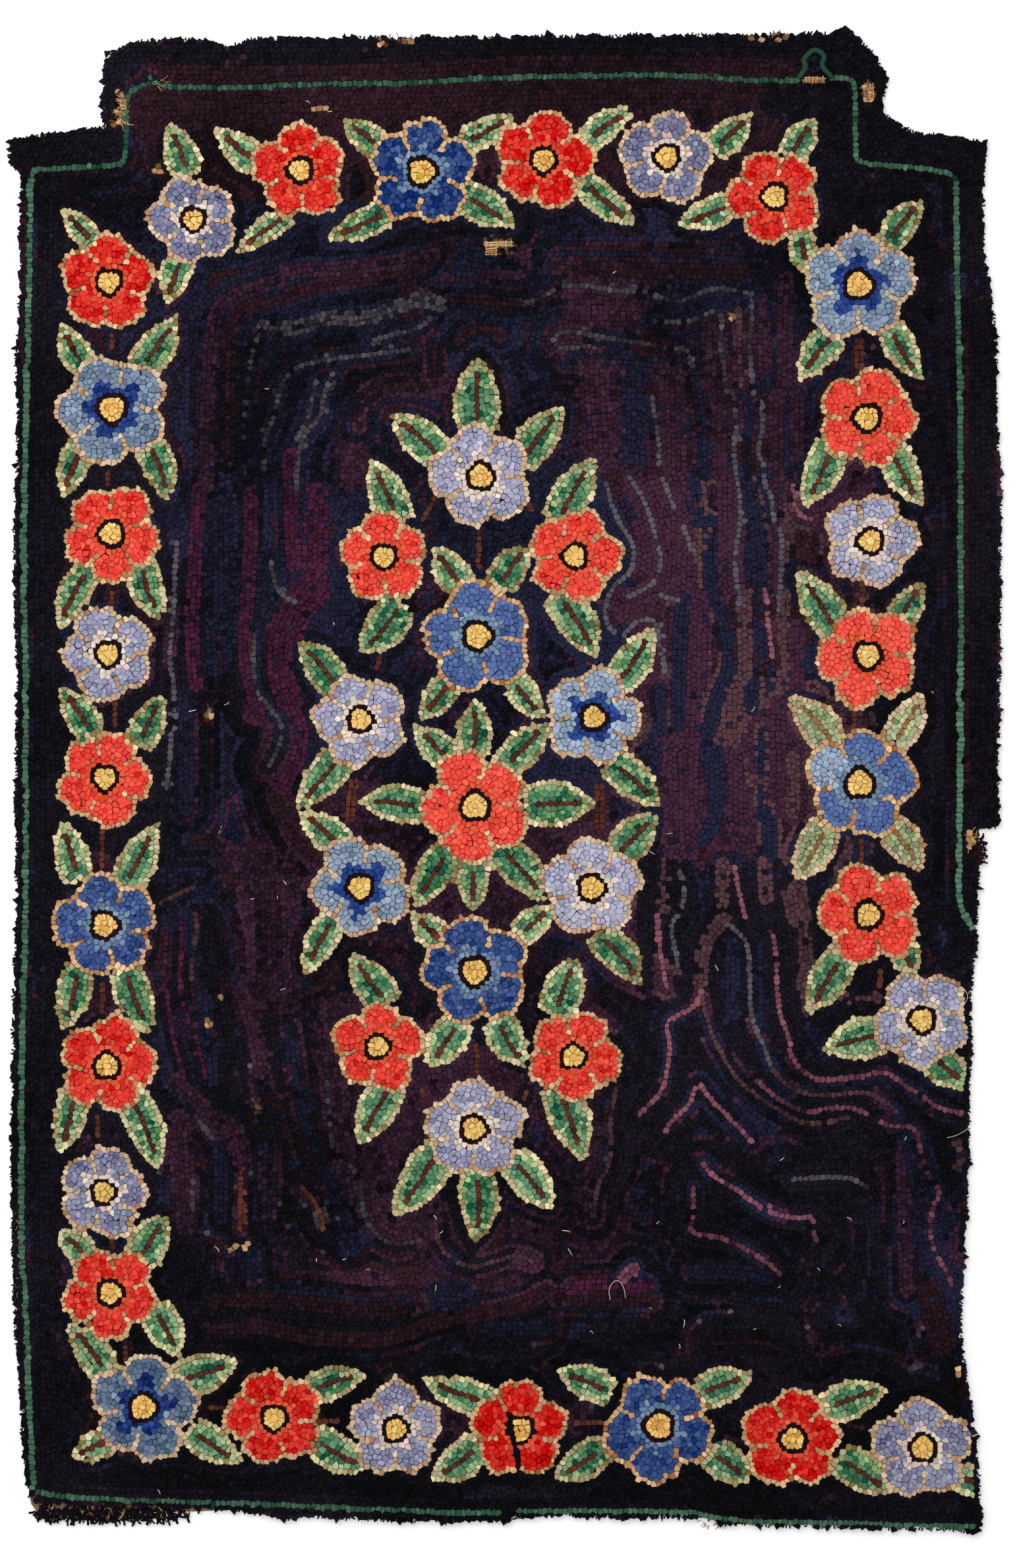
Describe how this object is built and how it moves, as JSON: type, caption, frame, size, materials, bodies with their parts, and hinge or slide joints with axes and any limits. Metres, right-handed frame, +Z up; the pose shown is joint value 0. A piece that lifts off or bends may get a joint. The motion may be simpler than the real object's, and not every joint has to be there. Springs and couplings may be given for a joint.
{
  "type": "hooked rug",
  "caption": "Flat oblong hearth rug of hooked cloth strips on a hessian foundation, with notched top corners and a worn, uneven rim.",
  "frame": {"origin": "on the floor under the middle of the rug's bounding box", "axes": "+Y along the length, towards the end with the notched corners; +X across the width; +Z up out of the pile"},
  "size_m": [0.8756, 1.3272, 0.0091],
  "materials": {
    "hessian": "matte, coarse plain weave",
    "cloth_strips": "matte, looped cloth strips"
  },
  "bodies": {
    "root": {"foundation": "hessian", "hooked_pile": "cloth_strips"}
  },
  "joints": []
}
